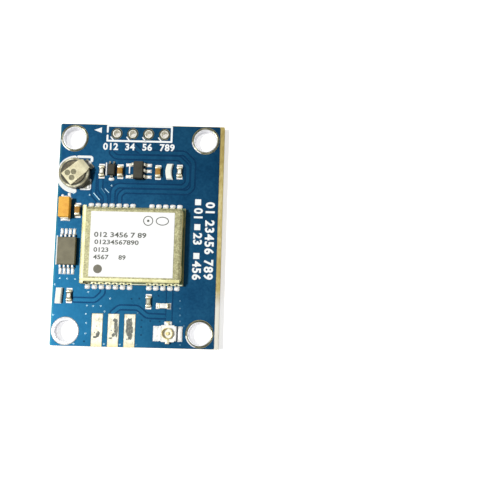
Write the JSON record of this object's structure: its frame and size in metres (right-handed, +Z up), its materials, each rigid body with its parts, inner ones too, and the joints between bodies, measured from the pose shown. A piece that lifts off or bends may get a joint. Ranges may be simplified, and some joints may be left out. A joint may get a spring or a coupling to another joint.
{
  "type": "gps module",
  "caption": "Blue satellite positioning board with a shielded receiver, backup cell, memory, regulator, coaxial aerial socket and mounting holes.",
  "frame": {"origin": "centre of the board's underside, on the surface that it lies on", "axes": "+Z up out of the parts side, +Y along the board's long side towards the header holes, +X along its short side towards the coaxial socket's side"},
  "size_m": [0.0254, 0.0354, 0.0041],
  "materials": {
    "solder_mask": "glossy blue solder mask over glass-epoxy laminate",
    "tin": "bright tinned metal",
    "gold": "gold plating",
    "receiver_laminate": "green laminate",
    "nickel_silver": "satin nickel silver sheet",
    "label_paper": "matt white label",
    "steel": "satin stainless steel",
    "gasket": "dark plastic gasket",
    "tantalum": "orange moulding",
    "moulding": "dark epoxy moulding",
    "resistor": "glazed ceramic chip with tinned ends",
    "ceramic": "brown ceramic chip with tinned ends",
    "lamp": "milky resin lamp with tinned ends",
    "inductor": "white chip with tinned ends",
    "socket_plastic": "white plastic"
  },
  "bodies": {
    "root": {"capacitor_1": "ceramic", "capacitor_2": "ceramic", "capacitor_3": "ceramic", "cell_bottom_tab": "steel", "cell_can": "steel", "cell_cap": "steel", "cell_gasket": "gasket", "cell_top_tab": "steel", "circuit_board": "solder_mask", "edge_pad_1": "tin", "edge_pad_2": "tin", "edge_pad_3": "tin", "header_hole_plating_1": "tin", "header_hole_plating_2": "tin", "header_hole_plating_3": "tin", "header_hole_plating_4": "tin", "inductor_1": "inductor", "lamp_1": "lamp", "lamp_2": "lamp", "memory_body": "moulding", "memory_lead_1": "tin", "memory_lead_2": "tin", "memory_lead_3": "tin", "memory_lead_4": "tin", "memory_lead_5": "tin", "memory_lead_6": "tin", "memory_lead_7": "tin", "memory_lead_8": "tin", "mounting_hole_plating_1": "tin", "mounting_hole_plating_2": "tin", "mounting_hole_plating_3": "tin", "mounting_hole_plating_4": "tin", "receiver_board": "receiver_laminate", "receiver_chip": "moulding", "receiver_filter": "ceramic", "receiver_label": "label_paper", "receiver_oscillator": "nickel_silver", "receiver_shield": "nickel_silver", "regulator_body": "moulding", "regulator_lead_1": "tin", "regulator_lead_2": "tin", "regulator_lead_3": "tin", "regulator_lead_4": "tin", "regulator_lead_5": "tin", "resistor_1": "resistor", "resistor_2": "resistor", "resistor_3": "resistor", "resistor_4": "resistor", "socket_base": "socket_plastic", "socket_pin": "gold", "socket_shell": "gold", "tantalum_body": "tantalum", "tantalum_terminal_1": "tin", "tantalum_terminal_2": "tin", "transistor_body": "moulding", "transistor_lead_1": "tin", "transistor_lead_2": "tin", "transistor_lead_3": "tin"}
  },
  "joints": []
}
